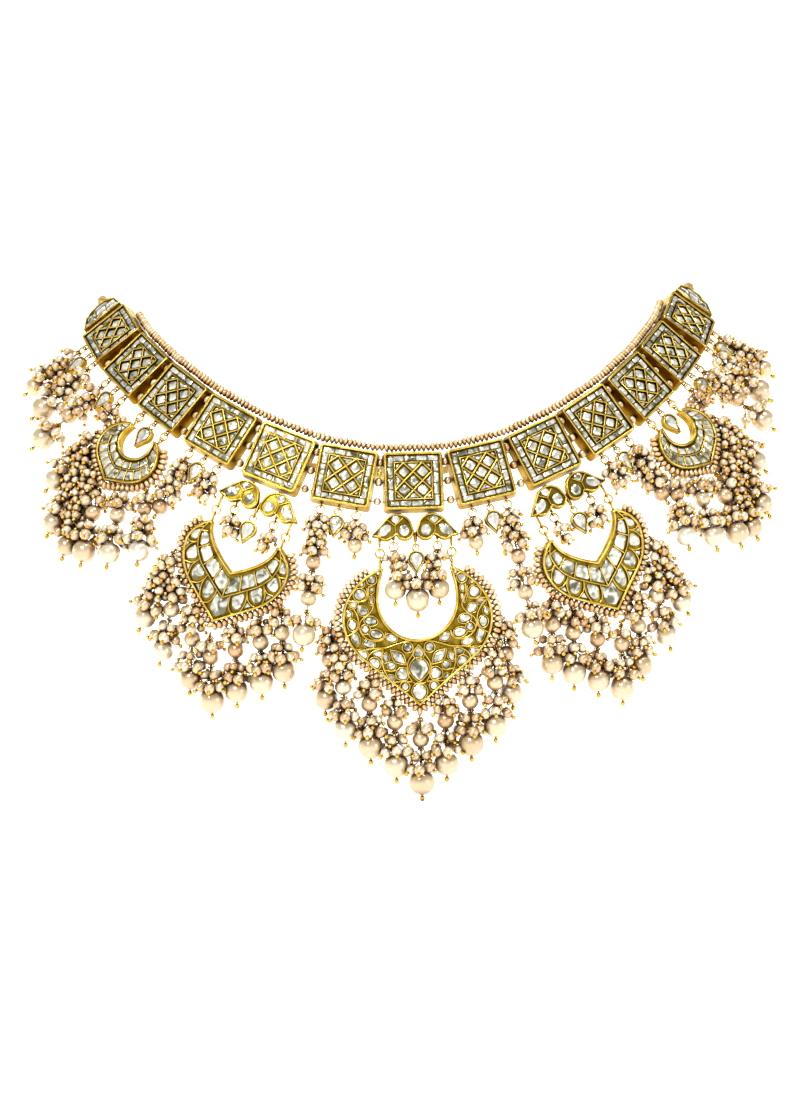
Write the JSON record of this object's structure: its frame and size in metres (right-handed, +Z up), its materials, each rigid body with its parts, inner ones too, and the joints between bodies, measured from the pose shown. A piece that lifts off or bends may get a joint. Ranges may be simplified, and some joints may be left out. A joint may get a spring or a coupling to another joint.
{
  "type": "kundan necklace",
  "caption": "Gold kundan collar of square stone-set plaques with crescent pendants, pearl fringes and a silk cord back.",
  "frame": {"origin": "centre of the neck opening, 20 mm above and 55 mm behind the face of the middle plaque", "axes": "+Z up as worn, -Y towards the wearer's front, +X to the right seen from the front"},
  "size_m": [0.2116, 0.1425, 0.1374],
  "materials": {
    "gold": "polished yellow gold over lac, with foil-backed uncut stones",
    "pearl": "satin",
    "thread": "matt",
    "silk_cord": "silky"
  },
  "bodies": {
    "collar": {"plaque_1": "gold", "plaque_2": "gold", "plaque_3": "gold", "plaque_4": "gold", "plaque_5": "gold", "plaque_6": "gold", "plaque_7": "gold", "plaque_8": "gold", "plaque_9": "gold", "plaque_10": "gold", "plaque_11": "gold", "plaque_12": "gold", "plaque_13": "gold", "terminal_left": "gold", "terminal_right": "gold", "plaque_threads": "thread", "top_seed_string": "pearl", "paisley_pair_left": "gold", "paisley_pair_centre": "gold", "paisley_pair_right": "gold", "crescent_small_left": "gold", "crescent_small_right": "gold", "rim_small_left": "pearl", "rim_small_right": "pearl", "stone_drop_1": "gold", "stone_drop_2": "gold", "stone_drop_3": "gold", "stone_drop_4": "gold", "stone_drop_5": "gold", "stone_drop_6": "gold", "stone_drop_7": "gold", "stone_drop_8": "gold", "stone_drop_9": "gold", "stone_drop_10": "gold", "stone_drop_11": "gold", "stone_drop_12": "gold", "stone_drop_13": "gold", "jump_rings": "gold", "wires_left": "gold", "wires_right": "gold", "wires_mouth": "gold", "pearls_left": "pearl", "pearls_right": "pearl", "pearls_mouth": "pearl", "cord_left": "silk_cord", "cord_right": "silk_cord", "barrel_clasp": "gold"},
    "pendant_centre": {"crescent_large": "gold", "rim_large": "pearl", "wires_large": "gold", "pearls_large": "pearl"},
    "pendant_left": {"crescent_medium_left": "gold", "rim_medium_left": "pearl", "wires_medium_left": "gold", "pearls_medium_left": "pearl"},
    "pendant_right": {"crescent_medium_right": "gold", "rim_medium_right": "pearl", "wires_medium_right": "gold", "pearls_medium_right": "pearl"}
  },
  "joints": [
    {"name": "centre_pendant_hinge", "type": "hinge", "parent": "collar", "child": "pendant_centre", "pos_m": [0, -0.05683, -0.03992], "axis": [-1, 0, 0], "range_deg": [-5, 40]},
    {"name": "right_pendant_hinge", "type": "hinge", "parent": "collar", "child": "pendant_right", "pos_m": [0.04309, -0.05211, -0.03113], "axis": [-0.8924, -0.2391, -0.3827], "range_deg": [-5, 40]},
    {"name": "left_pendant_hinge", "type": "hinge", "parent": "collar", "child": "pendant_left", "pos_m": [-0.04309, -0.05211, -0.03113], "axis": [-0.8924, 0.2391, 0.3827], "range_deg": [-5, 40]}
  ]
}
